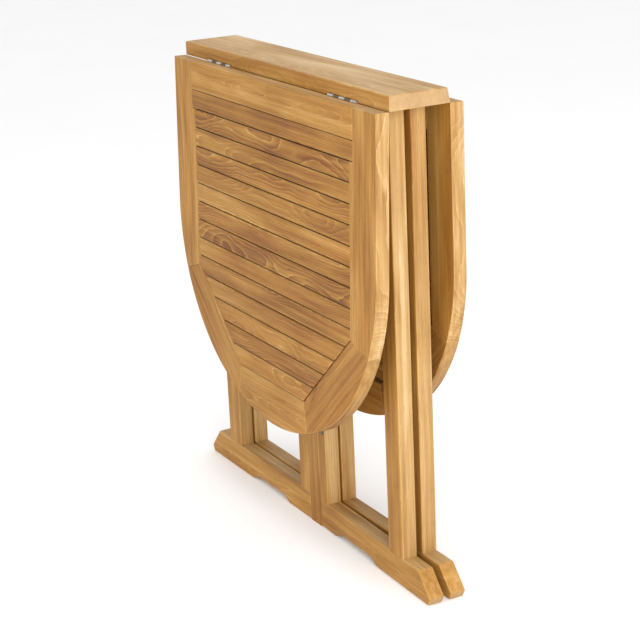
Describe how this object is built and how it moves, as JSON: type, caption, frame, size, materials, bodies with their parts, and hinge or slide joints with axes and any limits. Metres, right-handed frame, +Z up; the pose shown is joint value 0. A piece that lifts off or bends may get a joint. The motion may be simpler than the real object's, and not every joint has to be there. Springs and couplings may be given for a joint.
{
  "type": "gateleg table",
  "caption": "Folded gateleg table: narrow board, two hanging slatted drop leaves with rounded ends, and swinging leg gates on foot rails.",
  "frame": {"origin": "centre of the folded table's bounding box, on the floor", "axes": "+X along the board and the foot rails, -Y towards the leaning front leaf, +Z up"},
  "size_m": [0.7306, 0.1597, 0.74],
  "materials": {
    "board_teak": "oiled golden brown, lighter end grain",
    "leaf_frame_teak": "oiled golden brown",
    "slat_teak": "oiled, varied figure",
    "strip_teak": "oiled golden brown",
    "leg_teak": "oiled golden brown",
    "hinge_steel": "satin",
    "screw_brass": "satin"
  },
  "bodies": {
    "legs_and_board": {"back_fixed_foot_rail": "leg_teak", "back_fixed_stile": "leg_teak", "back_fixed_top_rail": "leg_teak", "back_fixed_upright": "leg_teak", "back_gate_hinge_post_plates": "hinge_steel", "back_leaf_hinge_board_plates": "hinge_steel", "back_post": "leg_teak", "board_screws": "screw_brass", "centre_board": "board_teak", "front_fixed_foot_rail": "leg_teak", "front_fixed_stile": "leg_teak", "front_fixed_top_rail": "leg_teak", "front_fixed_upright": "leg_teak", "front_gate_hinge_post_plates": "hinge_steel", "front_leaf_hinge_board_plates": "hinge_steel", "front_post": "leg_teak", "gate_hinge_pins": "hinge_steel", "gate_hinge_post_screws": "screw_brass", "leaf_hinge_board_screws": "screw_brass", "leaf_hinge_pins": "hinge_steel", "post_spacer": "leg_teak"},
    "front_leaf": {"front_leaf_angled_slats": "slat_teak", "front_leaf_batten_screws": "screw_brass", "front_leaf_battens": "strip_teak", "front_leaf_bottom_board": "leaf_frame_teak", "front_leaf_edge_strips": "strip_teak", "front_leaf_hinge_plates": "hinge_steel", "front_leaf_hinge_rail": "leaf_frame_teak", "front_leaf_hinge_screws": "screw_brass", "front_leaf_left_diagonal": "leaf_frame_teak", "front_leaf_left_stile": "leaf_frame_teak", "front_leaf_right_diagonal": "leaf_frame_teak", "front_leaf_right_stile": "leaf_frame_teak", "front_leaf_straight_slats": "slat_teak"},
    "back_leaf": {"back_leaf_angled_slats": "slat_teak", "back_leaf_batten_screws": "screw_brass", "back_leaf_battens": "strip_teak", "back_leaf_bottom_board": "leaf_frame_teak", "back_leaf_edge_strips": "strip_teak", "back_leaf_hinge_plates": "hinge_steel", "back_leaf_hinge_rail": "leaf_frame_teak", "back_leaf_hinge_screws": "screw_brass", "back_leaf_left_diagonal": "leaf_frame_teak", "back_leaf_left_stile": "leaf_frame_teak", "back_leaf_right_diagonal": "leaf_frame_teak", "back_leaf_right_stile": "leaf_frame_teak", "back_leaf_straight_slats": "slat_teak"},
    "front_gate": {"front_gate_foot_rail": "leg_teak", "front_gate_hinge_plates": "hinge_steel", "front_gate_hinge_screws": "screw_brass", "front_gate_stile": "leg_teak", "front_gate_top_rail": "leg_teak", "front_gate_upright": "leg_teak"},
    "back_gate": {"back_gate_foot_rail": "leg_teak", "back_gate_hinge_plates": "hinge_steel", "back_gate_hinge_screws": "screw_brass", "back_gate_stile": "leg_teak", "back_gate_top_rail": "leg_teak", "back_gate_upright": "leg_teak"}
  },
  "joints": [
    {"name": "front_leaf_hinge", "type": "hinge", "parent": "legs_and_board", "child": "front_leaf", "pos_m": [0, -0.0391, 0.718], "axis": [-1, 0, 0], "range_deg": [-2, 88]},
    {"name": "back_leaf_hinge", "type": "hinge", "parent": "legs_and_board", "child": "back_leaf", "pos_m": [0, 0.0579, 0.718], "axis": [1, 0, 0], "range_deg": [0, 90]},
    {"name": "front_gate_hinge", "type": "hinge", "parent": "legs_and_board", "child": "front_gate", "pos_m": [0.0316, -0.0203, 0], "axis": [0, 0, -1], "range_deg": [-1.5, 2]},
    {"name": "back_gate_hinge", "type": "hinge", "parent": "legs_and_board", "child": "back_gate", "pos_m": [-0.0033, 0.0391, 0], "axis": [0, 0, -1], "range_deg": [0, 3.5]}
  ]
}
